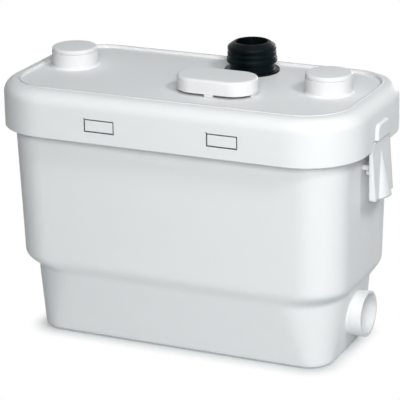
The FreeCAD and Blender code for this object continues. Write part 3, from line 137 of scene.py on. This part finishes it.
def dress(material, *nodes):
    """The whole surface of each CAD node in one material."""
    for node in nodes:
        cover = bpy.data.objects[node].data.materials
        cover.clear()
        cover.append(material)


WHITE = (0.80, 0.805, 0.81, 1)
WHITE_AGED = (0.76, 0.77, 0.775, 1)
# Painted shade: a dark grey laid along the gaps around the lid's snap lugs, where shadow falls.
GAP_SHADE = (0.16, 0.175, 0.18, 1)
# In metres: the lid's windows, the width of the painted shade in their gaps, and how far out the long walls
# stand.
WINDOW_MIDDLES = (-0.065, 0.071)
WINDOW_HALF_WIDTH, WINDOW_HALF_HEIGHT, WINDOW_LEVEL = 0.01625, 0.00625, 0.2469
SHADE_LINE_WIDTHS = (0.0003, 0.0010)
WALL_FACES = (0.098, 0.0995)
MOULDED_EDGE = 0.0012


def window_gap_shade(place):
    """1 along the gap around each snap lug in the lid's windows, where painted shade darkens the gap, and 0
    elsewhere.
    """
    x, y, z = (place.node("ShaderNodeSeparateXYZ", {0: place}, output=axis) for axis in range(3))
    from_left, from_right = ((x - middle).math("ABSOLUTE") for middle in WINDOW_MIDDLES)
    sideways = from_left.math("MINIMUM", from_right) - WINDOW_HALF_WIDTH
    upright = (z - WINDOW_LEVEL).math("ABSOLUTE") - WINDOW_HALF_HEIGHT
    off_line = sideways.math("MAXIMUM", upright).math("ABSOLUTE")
    return (1 - off_line.clamp(*SHADE_LINE_WIDTHS)) * y.math("ABSOLUTE").clamp(*WALL_FACES)


def white_plastic(place, edge=MOULDED_EDGE):
    """Satin moulded white with faint flow marks, fine orange peel and a little sink, and painted shade
    along the lid's window gaps.
    """
    flow = place.stretched(2, 2, 5).noise(scale=3.0, detail=2.0)
    peel = place.noise(scale=900.0, detail=2.0)
    sink = place.noise(scale=14.0, detail=1.0)
    plain = mixed(flow * 0.5, WHITE, WHITE_AGED)
    # The gaps around the window lugs get painted shade, not a colour of the plastic.
    return {"Base Color": mixed(window_gap_shade(place), plain, GAP_SHADE),
            "Roughness": 0.36 + flow * 0.08,
            "IOR": 1.46, "Specular IOR Level": 0.05,
            "Normal": dented(peel * 0.1 + sink * 1.5, strength=0.35, distance=0.0005, edge=edge)}


white = finish_material(white_plastic)
dress(white, "tank")

# Side inlet flap
# A grey plastic disc that hangs on its own steel pin behind the side inlet and stops waste water from
# running back into the pipe.

GREY_DARK, GREY_PALE = (0.30, 0.32, 0.33, 1), (0.42, 0.44, 0.45, 1)
STEEL_STAINED, STEEL_BRIGHT = (0.42, 0.42, 0.42, 1), (0.62, 0.61, 0.6, 1)


def grey_plastic(place):
    """Plain grey moulding, satin, a little uneven in tone."""
    mottle = place.noise(scale=20.0, detail=4.0)
    grain = place.noise(scale=1200.0, detail=2.0)
    return {"Base Color": mixed(mottle, GREY_DARK, GREY_PALE),
            "Roughness": 0.35 + mottle * 0.2,
            "Normal": dented(grain, strength=0.25, distance=0.0002)}


def turned_steel(place):
    """Bright steel with fine turning marks around its axis."""
    brushed = place.stretched(1, 1, 40).noise(scale=90.0, detail=4.0)
    stain = place.noise(scale=30.0, detail=3.0)
    return {"Base Color": mixed(stain, STEEL_STAINED, STEEL_BRIGHT),
            "Metallic": 1.0, "Roughness": 0.22 + brushed * 0.25,
            "Normal": dented(brushed, strength=0.15, distance=0.0001)}


grey = finish_material(grey_plastic)
steel = finish_material(turned_steel)
dress(grey, "side_inlet_flap")
dress(steel, "side_flap_pin")

# Pump
# A black plastic volute over a slotted strainer, on four rubber feet on the tank's floor. A rubber lip
# seal keeps the water out of the motor.

RUBBER_DARK, RUBBER_DUSTY = (0.001, 0.003, 0.004, 1), (0.003, 0.008, 0.010, 1)
RUBBER_BLOOM = (0.45, 0.8)
RUBBER_EDGE = 0.0006
BLACK_DARK, BLACK_PALE = (0.014, 0.015, 0.016, 1), (0.035, 0.036, 0.038, 1)


def black_rubber(place):
    """Moulded black rubber, satin, with pale dust and bloom."""
    bloom = place.noise(scale=35.0, detail=5.0)
    grain = place.noise(scale=1500.0, detail=3.0)
    return {"Base Color": mixed(bloom.clamp(*RUBBER_BLOOM), RUBBER_DARK, RUBBER_DUSTY),
            "Roughness": 0.24 + bloom * 0.2, "Specular IOR Level": 0.06,
            "Normal": dented(grain, strength=0.3, distance=0.0002, edge=RUBBER_EDGE)}


def black_plastic(place):
    """Dull black moulding with a slight mottle."""
    mottle = place.noise(scale=24.0, detail=4.0)
    grain = place.noise(scale=1400.0, detail=2.0)
    return {"Base Color": mixed(mottle, BLACK_DARK, BLACK_PALE),
            "Roughness": 0.3 + mottle * 0.25,
            "Normal": dented(grain, strength=0.3, distance=0.0002)}


rubber = finish_material(black_rubber)
black = finish_material(black_plastic)
dress(rubber, "pump_feet", "shaft_seal")
dress(black, "strainer", "volute_casing", "volute_cover", "impeller")

# Motor
# A painted steel can on the volute's cover holds a wound stator around a plain rotor, and the shaft runs in
# two ball bearings, shown as plain rings. Three rubber dampers part its black cap from the equipment plate.

ENAMEL_DARK, ENAMEL_PALE = (0.05, 0.07, 0.09, 1), (0.09, 0.11, 0.13, 1)
SHEET_STEEL, SHEET_RUST = (0.16, 0.16, 0.165, 1), (0.2, 0.13, 0.09, 1)
RUST_PATCHES = (0.5, 0.8)
COPPER_DARK, COPPER_PALE = (0.42, 0.15, 0.06, 1), (0.6, 0.26, 0.12, 1)


def painted_steel(place):
    """Dark blue-grey enamel on pressed steel."""
    mottle = place.noise(scale=60.0, detail=5.0)
    return {"Base Color": mixed(mottle, ENAMEL_DARK, ENAMEL_PALE),
            "Roughness": 0.3 + mottle * 0.25, "Coat Weight": 0.3,
            "Normal": dented(mottle, strength=0.2, distance=0.0003)}


def laminated(place):
    """A stack of thin steel sheets seen on edge, with a touch of rust."""
    sheets = place.layers(scale=320.0)
    rust = place.noise(scale=50.0, detail=4.0)
    return {"Base Color": mixed(rust.clamp(*RUST_PATCHES), SHEET_STEEL, SHEET_RUST),
            "Metallic": 0.8, "Roughness": 0.4 + sheets * 0.25,
            "Normal": dented(sheets, strength=0.5, distance=0.0004)}


def copper(place):
    """Lacquered copper wire laid in rings."""
    turns = place.layers(scale=260.0)
    lacquer = place.noise(scale=40.0, detail=3.0)
    return {"Base Color": mixed(lacquer, COPPER_DARK, COPPER_PALE),
            "Metallic": 0.9, "Roughness": 0.3 + turns * 0.2,
            "Normal": dented(turns, strength=0.7, distance=0.0005)}


dress(finish_material(painted_steel), "motor_can")
dress(finish_material(laminated), "rotor", "stator")
dress(finish_material(copper), "windings")
dress(steel, "motor_shaft", "lower_bearing", "upper_bearing")
dress(black, "motor_top_cap")
dress(rubber, "motor_dampers")

# Discharge
# Two grey plastic pipes with a non-return valve between them lead from the volute up into the outlet
# sleeve. The valve's rubber flap hangs on a steel pin.

dress(grey, "discharge_pipe_lower", "non_return_valve_body", "discharge_pipe_upper")
dress(rubber, "non_return_flap")
dress(steel, "non_return_flap_pin")

# Equipment plate and electrics
# A grey plate screwed to the tank's brackets carries a black terminal box and a starting capacitor in a
# tinned can, held by a steel band. The supply comes through a black gland in the tank's back wall.

TIN_DARK, TIN_BRIGHT = (0.55, 0.56, 0.57, 1), (0.72, 0.73, 0.74, 1)


def tinned_can(place):
    """Drawn tinplate, brushed along its length."""
    brushed = place.stretched(30, 1, 1).noise(scale=80.0, detail=4.0)
    return {"Base Color": mixed(brushed, TIN_DARK, TIN_BRIGHT),
            "Metallic": 1.0, "Roughness": 0.3 + brushed * 0.15,
            "Normal": dented(brushed, strength=0.15, distance=0.0001)}


dress(grey, "equipment_plate")
dress(steel, "plate_screws", "terminal_screws", "capacitor_clip")
dress(black, "terminal_box", "terminal_cover", "cable_gland_body", "cable_gland_nut")
dress(finish_material(tinned_can), "capacitor")

# Level switch
# Rising water shuts air in a grey plastic bell under the plate. The air lifts a rubber membrane, and this
# pushes a plunger against the black microswitch in the grey housing on top.

dress(grey, "pressure_bell", "switch_housing", "switch_plunger")
dress(rubber, "level_membrane")
dress(black, "microswitch")

# Lid and seal
# A deep moulded lid of the tank's white plastic. Its four windows snap over lugs on the tank and press it
# on a black rubber ring on the rim.

dress(white, "lid")
dress(rubber, "lid_seal")

# Top caps
# Two plain white caps close the top inlets. Each has a hollow plug with a rubber ring in its groove and
# lifts straight out.

SHARP_FROM = math.radians(35)
# In millimetres, with heights above the floor.
CAP_MIDDLES = {"left": -150.5, "right": 139.5}
CAP_Y = 10.0
CAP_RIM, PLUG_RADIUS, GROOVE_RADIUS, PLUG_BORE = 23.9, 21.0, 18.5, 17.0
CAP_TOP, CAP_UNDER, PLUG_END, CAP_ROUND = 295.4, 291.0, 276.0, 2.3
GROOVE_LOW, GROOVE_HIGH = 280.6, 283.4


def eased(corners, steps=5):
    """A profile in millimetres from (across, up, easing) corners, each rounded by its easing."""
    points = []
    for index, (across, high, ease) in enumerate(corners):
        here = Vector((across, high))
        if not ease:
            points.append(here)
            continue
        before = Vector(corners[index - 1][:2])
        after = Vector(corners[(index + 1) % len(corners)][:2])
        start = here + (before - here).normalized() * ease
        end = here + (after - here).normalized() * ease
        for share in (step / steps for step in range(steps + 1)):
            points.append(start.lerp(here, share).lerp(here.lerp(end, share), share))
    return points


def turned(profile, x, y, steps=128):
    """A form turned around an upright axis from a profile, all in millimetres."""
    form = bmesh.new()
    rim = [form.verts.new(((x + across) / 1000, y / 1000, high / 1000)) for across, high in profile]
    pairs = list(zip(rim, rim[1:]))
    reaches_axis = profile[0][0] == 0
    if not reaches_axis:
        pairs.append((rim[-1], rim[0]))
    edges = [form.edges.new(pair) for pair in pairs]
    bmesh.ops.spin(form, geom=rim + edges, cent=(x / 1000, y / 1000, 0), axis=(0, 0, 1),
                   angle=math.tau, steps=steps, use_merge=True)
    return form


def placed(name, data):
    """A new object in the scene."""
    thing = bpy.data.objects.new(name, data)
    bpy.context.scene.collection.objects.link(thing)
    return thing


def settle(name, form, material, body, *nodes):
    """A closed, smoothly shaded piece that rides on a body in the place of its CAD nodes."""
    bmesh.ops.remove_doubles(form, verts=form.verts, dist=1e-6)
    bmesh.ops.recalc_face_normals(form, faces=form.faces)
    mesh = bpy.data.meshes.new(name)
    form.to_mesh(mesh)
    form.free()
    mesh.shade_smooth()
    mesh.set_sharp_from_angle(angle=SHARP_FROM)
    mesh.materials.append(material)
    thing = placed(name, mesh)
    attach(thing, body)
    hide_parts(*nodes)


cap_profile = eased([
    (0, CAP_UNDER, 0), (PLUG_BORE, CAP_UNDER, 0.6), (PLUG_BORE, PLUG_END, 0.8),
    (PLUG_RADIUS, PLUG_END, 0.8), (PLUG_RADIUS, GROOVE_LOW, 0.2), (GROOVE_RADIUS, GROOVE_LOW, 0.3),
    (GROOVE_RADIUS, GROOVE_HIGH, 0.3), (PLUG_RADIUS, GROOVE_HIGH, 0.2), (PLUG_RADIUS, CAP_UNDER, 0.1),
    (CAP_RIM, CAP_UNDER, 0.25), (CAP_RIM, CAP_TOP, CAP_ROUND), (0, CAP_TOP, 0)])
for side, cap_x in CAP_MIDDLES.items():
    settle(f"{side}_cap_smooth", turned(cap_profile, cap_x, CAP_Y), white, f"{side}_cap", f"{side}_top_cap")
dress(rubber, "left_cap_seal", "right_cap_seal")

# Vent cover and filter
# A pill-shaped hood of the same white plastic stands on four low feet, so air passes under its rim. Two
# hangers moulded inside it carry the black foam pad in the well below.

# In millimetres, with heights above the floor.
VENT_X, VENT_Y = 33.8, -30.5
HOOD_LENGTH, HOOD_WIDTH, HOOD_WALL = 86.4, 48.0, 2.4
HOOD_TOP, HOOD_UNDER, HOOD_RIM, HOOD_ROUND = 292.4, 290.0, 277.4, 3.0
CLOSING_INSET = 6.0
FOOT_LOW, FOOT_HIGH, FOOT_EDGE = 274.6, 279.4, 0.3
SIDE_FOOT_OUT, SIDE_FOOT_HALVES = 21.9, (5, 1.5)
END_FOOT_OUT, END_FOOT_HALVES = 39.6, (1.6, 5)
PAD_LENGTH, PAD_WIDTH, PAD_ROUND = 63.2, 24.8, 1.2
PAD_LOW, PAD_HIGH = 262.0, 271.0
HANGER_OUT, HANGER_HALVES, HANGER_HIGH = 18, (1.5, 4), 290.5
FOAM_DARK, FOAM_PALE = (0.006, 0.006, 0.006, 1), (0.03, 0.03, 0.03, 1)
FOAM_CELLS = (0.1, 0.6)


def pill(profile, length, width, segments=96):
    """A form through round-ended outlines at the vent, each an inset and a height from the profile."""
    form = bmesh.new()
    rings = []
    for inset, high in profile:
        half = (width / 2 - inset) / 1000
        slide = (length - width) / 2000
        made = bmesh.ops.create_circle(form, segments=segments, radius=half,
                                       matrix=Matrix.Rotation(math.pi / segments, 4, "Z"))["verts"]
        for spot in made:
            spot.co += Vector((VENT_X / 1000 + math.copysign(slide, spot.co.x), VENT_Y / 1000, high / 1000))
        rings.append(made)
    for low, high in zip(rings, rings[1:]):
        edges = {edge for ring in (low, high) for spot in ring for edge in spot.link_edges
                 if edge.other_vert(spot) in ring}
        bmesh.ops.bridge_loops(form, edges=list(edges))
    form.faces.new(rings[0])
    form.faces.new(rings[-1])
    return form


def add_block(form, across, along, halves, low, high, round_by=0.0):
    """A block about a place on the vent, joined to a form, all in millimetres, its edges rounded."""
    x, y = VENT_X + across, VENT_Y + along
    half_x, half_y = halves
    corners = list(zip((x - half_x, y - half_y, low), (x + half_x, y + half_y, high)))
    size = [(b - a) / 1000 for a, b in corners]
    middle = [(a + b) / 2000 for a, b in corners]
    made = bmesh.ops.create_cube(form, size=1.0, matrix=Matrix.Translation(middle)
                                 @ Matrix.Diagonal((*size, 1)))["verts"]
    if round_by:
        edges = list({edge for spot in made for edge in spot.link_edges})
        bmesh.ops.bevel(form, geom=edges, offset=round_by / 1000, segments=2, profile=0.5,
                        affect="EDGES", material=-1)


hood_profile = eased([(HOOD_WALL, HOOD_UNDER, 0), (HOOD_WALL, HOOD_RIM, 0.5), (0, HOOD_RIM, 0.5),
                      (0, HOOD_TOP, HOOD_ROUND), (CLOSING_INSET, HOOD_TOP, 0)])
hood = pill(hood_profile, HOOD_LENGTH, HOOD_WIDTH)
for across, along, halves in ((0, -SIDE_FOOT_OUT, SIDE_FOOT_HALVES), (0, SIDE_FOOT_OUT, SIDE_FOOT_HALVES),
                              (-END_FOOT_OUT, 0, END_FOOT_HALVES), (END_FOOT_OUT, 0, END_FOOT_HALVES)):
    add_block(hood, across, along, halves, FOOT_LOW, FOOT_HIGH, FOOT_EDGE)
for across in (-HANGER_OUT, HANGER_OUT):
    add_block(hood, across, 0, HANGER_HALVES, PAD_HIGH, HANGER_HIGH)
settle("vent_hood", hood, white, "vent", "vent_cover")


def foam(place):
    """Open-cell filter foam."""
    cells = place.node("ShaderNodeTexVoronoi", {"Vector": place, "Scale": 900.0})
    return {"Base Color": mixed(cells.clamp(*FOAM_CELLS), FOAM_DARK, FOAM_PALE),
            "Roughness": 0.85 + cells * 0.1,
            "Normal": dented(cells, strength=0.8, distance=0.0008)}


pad_profile = eased([(CLOSING_INSET, PAD_LOW, 0), (0, PAD_LOW, PAD_ROUND), (0, PAD_HIGH, PAD_ROUND),
                     (CLOSING_INSET, PAD_HIGH, 0)])
filter_foam = finish_material(foam)
dress(filter_foam, "carbon_filter")
settle("filter_foam", pill(pad_profile, PAD_LENGTH, PAD_WIDTH), filter_foam, "vent", "carbon_filter")

# Rubber outlet sleeve
# A moulded black rubber collar sits in the lid on its flange. Its spigot grips the discharge pipe below,
# and a hose clip goes round the ribs of its neck.

# In millimetres: radii from the sleeve's own axis, and heights above the floor.
SLEEVE_X, SLEEVE_Y = 34.2, 57.5
PIPE_GRIP, SLEEVE_BORE, SPIGOT, FLANGE, MOUTH = 12.03, 16.1, 19.0, 29.3, 18.6
LOW_NECK, LOW_RIB, MIDDLE_NECK, MIDDLE_RIB, TOP_NECK, TOP_RIB = 23.6, 26.7, 24.6, 25.8, 24.5, 25.6
SPIGOT_END, FLANGE_UNDER, FLANGE_TOP, GRIP_TOP, SLEEVE_TOP = 258.4, 274.45, 276.6, 284.0, 306.4
LOW_RIB_FROM, LOW_RIB_TO = 284.6, 289.9
MIDDLE_RIB_FROM, MIDDLE_RIB_TO = 292.0, 295.3
TOP_RIB_FROM, TOP_RIB_TO = 297.4, 301.4

sleeve_profile = eased([
    (PIPE_GRIP, SPIGOT_END, 0.5), (SPIGOT, SPIGOT_END, 1.0), (SPIGOT, FLANGE_UNDER, 0.3),
    (FLANGE, FLANGE_UNDER, 0.4), (FLANGE, FLANGE_TOP, 0.9), (LOW_NECK, FLANGE_TOP, 1.6),
    (LOW_NECK, LOW_RIB_FROM, 0.5), (LOW_RIB, LOW_RIB_FROM, 1.3), (LOW_RIB, LOW_RIB_TO, 1.6),
    (MIDDLE_NECK, LOW_RIB_TO, 0.6), (MIDDLE_NECK, MIDDLE_RIB_FROM, 0.6), (MIDDLE_RIB, MIDDLE_RIB_FROM, 0.8),
    (MIDDLE_RIB, MIDDLE_RIB_TO, 0.8), (TOP_NECK, MIDDLE_RIB_TO, 0.5), (TOP_NECK, TOP_RIB_FROM, 0.5),
    (TOP_RIB, TOP_RIB_FROM, 0.8), (TOP_RIB, TOP_RIB_TO, 1.6), (MOUTH, SLEEVE_TOP, 2.4),
    (SLEEVE_BORE, SLEEVE_TOP, 1.1), (SLEEVE_BORE, GRIP_TOP, 0.4), (PIPE_GRIP, GRIP_TOP, 0.4)])
settle("rubber_sleeve", turned(sleeve_profile, SLEEVE_X, SLEEVE_Y), rubber, "box", "outlet_sleeve")

# End clip and pin
# A white plastic tongue on the lid's right end swings on a steel pin and hooks behind the tank's keeper.
# The finger pull at its foot frees it.

SOFT_EDGE = 0.003


def soft_edged_white(place):
    """The same white on the clip, whose edges and ribs run out softly."""
    return white_plastic(place, edge=SOFT_EDGE)


dress(finish_material(soft_edged_white), "end_clip")
dress(steel, "end_clip_pin")

# Floor, light and camera
# A pale studio floor keeps the object's shadow and fades to white around it. Four soft lamps light the
# front, the right, the top and the back, and the camera stands where the photographer stood.

FLOOR_HALF = 6.0
PAPER_DARK, PAPER_PALE = (0.51, 0.55, 0.56, 1), (0.55, 0.59, 0.60, 1)
# The shadow shows in full on a patch of this half size, and fades out over these distances past it.
SHADOW_HALVES = (0.14, 0.045, 0)
SHADOW_FADE = (0.008, 0.045)
AMBIENT_COLOUR, AMBIENT_STRENGTH = (0.62, 0.92, 1.0, 1), 0.05
BACKDROP_COLOUR = (1, 1, 1, 1)
LAMPS_AIM = Vector((0, 0, 0.15))
PHOTO_WIDTH, FOCAL_PIXELS = 400, 2210.4
SENSOR_WIDTH, FAR_END = 36.0, 20.0
CAMERA_AZIMUTH, CAMERA_ELEVATION, CAMERA_ROLL = 24.9, 18.8, math.radians(-1.0)
CAMERA_PLACE = Vector((0.92692, -2.00143, 0.89495))


def floor_paper(place):
    """Matt pale paper, a little cloudy."""
    return {"Base Color": mixed(place.noise(scale=3.0, detail=3.0), PAPER_DARK, PAPER_PALE),
            "Roughness": 0.9}


def seen_white(tree):
    """1 for rays from the eye, from a reflection or through something clear, else 0."""
    eye, gloss, through = (Wire(tree).node("ShaderNodeLightPath", {}, output=f"Is {kind} Ray")
                           for kind in ("Camera", "Glossy", "Transmission"))
    return eye.math("MAXIMUM", gloss).math("MAXIMUM", through)


def show_between(share, first, second, end):
    """Joins two shaders, the second by the given share, to a tree's end."""
    blend = share.node("ShaderNodeMixShader", {0: share, 1: first, 2: second})
    feed(share.tree.nodes[end].inputs["Surface"], blend)


form = bmesh.new()
bmesh.ops.create_grid(form, x_segments=1, y_segments=1, size=FLOOR_HALF)
floor_mesh = bpy.data.meshes.new("floor")
form.to_mesh(floor_mesh)
form.free()
floor = placed("floor", floor_mesh)
paper = finish_material(floor_paper)
tree = paper.node_tree
matte = Wire(tree, tree.nodes["Principled BSDF"].outputs[0])
glow = Wire(tree).node("ShaderNodeEmission", {})
place = Wire(tree).node("ShaderNodeTexCoord", {}, output="Object")
past_shadow = place.vector("ABSOLUTE").vector("SUBTRACT", SHADOW_HALVES).vector("MAXIMUM", (0, 0, 0))
away = past_shadow.vector("LENGTH", output=1).clamp(*SHADOW_FADE)
show_between(away * seen_white(tree), matte, glow, "Material Output")
floor_mesh.materials.append(paper)

world = bpy.data.worlds.new("studio")
world.use_nodes = True
tree = world.node_tree
tree.nodes.remove(tree.nodes["Background"])
ambient = Wire(tree).node("ShaderNodeBackground", {"Color": AMBIENT_COLOUR, "Strength": AMBIENT_STRENGTH})
backdrop = Wire(tree).node("ShaderNodeBackground", {"Color": BACKDROP_COLOUR})
show_between(seen_white(tree), ambient, backdrop, "World Output")
bpy.context.scene.world = world


def outward(azimuth, elevation):
    """The direction from the object towards a place around it, from two angles in degrees."""
    around, above = math.radians(azimuth), math.radians(elevation)
    return Vector((math.sin(around) * math.cos(above), -math.cos(around) * math.cos(above),
                   math.sin(above)))


def lamp(name, azimuth, elevation, reach, size, power, colour):
    """A square soft lamp that looks at the middle of the object."""
    light = bpy.data.lights.new(name, "AREA")
    light.size = size
    light.energy = power
    light.color = colour
    thing = placed(name, light)
    towards = outward(azimuth, elevation)
    thing.location = LAMPS_AIM + towards * reach
    thing.rotation_euler = towards.to_track_quat("Z", "Y").to_euler()


lamp("front_lamp", azimuth=27, elevation=25, reach=2.6, size=1.0, power=46, colour=(1.0, 0.985, 0.975))
lamp("side_lamp", azimuth=62, elevation=43, reach=2.4, size=0.45, power=17.5, colour=(0.98, 0.99, 1.0))
lamp("top_lamp", azimuth=40, elevation=75, reach=2.2, size=1.0, power=9.5, colour=(0.93, 0.985, 1.0))
lamp("back_lamp", azimuth=176, elevation=5, reach=2.6, size=0.8, power=20, colour=(1.0, 0.985, 0.98))

back = outward(CAMERA_AZIMUTH, CAMERA_ELEVATION)
right = Vector((0, 0, 1)).cross(back).normalized()
up = back.cross(right)
rolled_right = right * math.cos(CAMERA_ROLL) + up * math.sin(CAMERA_ROLL)
rolled_up = up * math.cos(CAMERA_ROLL) - right * math.sin(CAMERA_ROLL)
camera = placed("camera", bpy.data.cameras.new("camera"))
camera.data.sensor_width = SENSOR_WIDTH
camera.data.lens = SENSOR_WIDTH * FOCAL_PIXELS / PHOTO_WIDTH
camera.data.clip_end = FAR_END
stance = Matrix((rolled_right, rolled_up, back)).transposed().to_4x4()
stance.translation = CAMERA_PLACE
camera.matrix_world = stance
bpy.context.scene.camera = camera
bpy.context.scene.view_settings.view_transform = "Standard"
